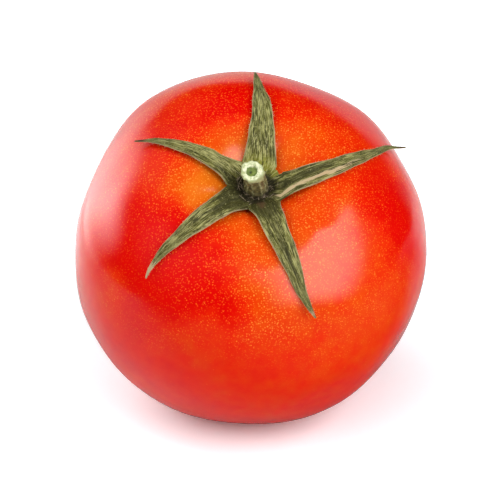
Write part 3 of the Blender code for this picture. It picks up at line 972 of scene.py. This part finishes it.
def add_light(name, mirrored, azimuth, elevation, distance, size, radiance, fades, roll):
    """An area light turned to the fruit, which is either mirrored in it or lights it."""
    light = bpy.data.lights.new(name, "AREA")
    light.shape = "RECTANGLE"
    light.size, light.size_y = size
    light.energy = radiance * math.pi * size[0] * size[1]
    lamp = bpy.data.objects.new(name, light)
    bpy.context.scene.collection.objects.link(lamp)
    toward = towards(azimuth, elevation)
    lamp.location = POSE.translation + toward * distance
    rolled = toward.to_track_quat("Z", "Y") @ Quaternion((0, 0, 1), math.radians(roll))
    lamp.rotation_euler = rolled.to_euler()
    lamp.visible_camera = False
    lamp.visible_glossy = mirrored
    lamp.visible_diffuse = not mirrored
    n = Nodes(light)
    across, up, _ = n.xyz(n.add("ShaderNodeNewGeometry").outputs["Parametric"])
    strength = 1.0
    for part, (near_fade, far_fade) in zip((across, up), fades):
        strength = n.math("MULTIPLY", strength, n.ramp(part, 0.0, near_fade))
        strength = n.math("MULTIPLY", strength, n.ramp(part, 1.0, 1.0 - far_fade))
    n.set("Emission", {"Strength": strength})


def floor_material():
    """White to the camera, with colour above 1 that is less and cooler near the fruit: painted light
    and shade that sets how dark the fruit's shadow reads. Mirrored in the skin, it is pale at the left
    and back and dark at the front right, with a painted pool of light at the left back."""
    material, n = new_material("floor_white")
    n.tree.nodes.remove(n.tree.nodes["Principled BSDF"])
    rays = n.add("ShaderNodeLightPath").outputs
    here = n.here()
    right, back, _ = n.xyz(here)
    dark_side = towards(MIRRORED_DARK_SIDE, 0)
    ahead = n.math("MULTIPLY_ADD", right, dark_side.x, n.math("MULTIPLY", back, dark_side.y))
    mirrored = n.ramp(ahead, -0.01, 0.045, *MIRRORED_FLOOR)
    # Painted pool of light near the left softbox, only for mirror reflections
    light_pool = n.near(here, MIRRORED_LIGHT_POOL_PLACE, 0.02, 0.11)
    mirrored = n.math("MULTIPLY_ADD", light_pool, MIRRORED_LIGHT_POOL, mirrored)
    mirrored = n.math("ADD", n.ramp(back, 0.03, 0.09, 0.0, MIRRORED_BACK), mirrored)
    change = n.math("SUBTRACT", mirrored, BOUNCED_FLOOR)
    level = n.math("MULTIPLY_ADD", rays["Is Glossy Ray"], change, BOUNCED_FLOOR)
    unseen = n.add("ShaderNodeCombineColor", {"Red": level, "Green": level, "Blue": level})
    # Painted light and shade for the camera: less pale and cooler near the fruit than far off
    seen = n.mix(n.near(here, (0.0, 0.0, 0.0), 0.07, 0.15), FAR_FLOOR, SEEN_FLOOR)
    shade = n.mix(rays["Is Camera Ray"], unseen.outputs["Color"], seen)
    diffuse = n.add("ShaderNodeBsdfDiffuse", {"Color": shade})
    n.set("Material Output", {"Surface": diffuse.outputs["BSDF"]})
    return material


def add_floor():
    disc = bmesh.new()
    bmesh.ops.create_circle(disc, cap_ends=True, segments=96, radius=FLOOR_RADIUS)
    mesh = bpy.data.meshes.new("floor")
    disc.to_mesh(mesh)
    disc.free()
    floor = bpy.data.objects.new("floor", mesh)
    bpy.context.scene.collection.objects.link(floor)
    floor.location.z = -FLOOR_DROP
    mesh.materials.append(floor_material())


def add_world():
    """Seen directly, the room is plain white. What lights and mirrors in the fruit is a dark
    room with a low white backdrop behind."""
    world = bpy.data.worlds.new("studio")
    bpy.context.scene.world = world
    n = Nodes(world)
    _, back, up = n.xyz(n.add("ShaderNodeTexCoord").outputs["Generated"])
    backdrop = n.math("MULTIPLY", n.ramp(back, 0.55, 0.85), n.ramp(up, 0.42, 0.25))
    backdrop = n.math("MULTIPLY", backdrop, BACKDROP)
    seen = n.add("ShaderNodeLightPath").outputs["Is Camera Ray"]
    level = n.add("ShaderNodeMix", {"Factor": seen, "A": backdrop, "B": SEEN_ROOM})
    n.set("Background", {"Color": colour(1, 1, 1), "Strength": level.outputs["Result"]})


def add_camera():
    data = bpy.data.cameras.new("camera")
    data.lens = CAMERA_LENS
    data.sensor_width = 36.0
    data.clip_start = 0.01
    camera = bpy.data.objects.new("camera", data)
    bpy.context.scene.collection.objects.link(camera)
    toward = towards(0, CAMERA_ELEVATION)
    right = Vector((1, 0, 0))
    aim = POSE.translation + right * CAMERA_AIM[0] + right.cross(-toward) * CAMERA_AIM[1]
    camera.location = aim + toward * CAMERA_DISTANCE
    camera.rotation_euler = toward.to_track_quat("Z", "Y").to_euler()
    bpy.context.scene.camera = camera
    bpy.context.scene.view_settings.view_transform = "Standard"


def main():
    add_camera()
    add_world()
    add_floor()
    for name, settings in SOFTBOXES.items():
        add_light(name, True, *settings)
    for name, settings in FILLS.items():
        add_light(name, False, *settings)
    add_fruit()
    leaf = leaf_material()
    add_cup(leaf)
    add_fibres()
    add_stem()
    for name, sepal in SEPALS.items():
        add_sepal(name, sepal, leaf)
    add_hairs()


main()
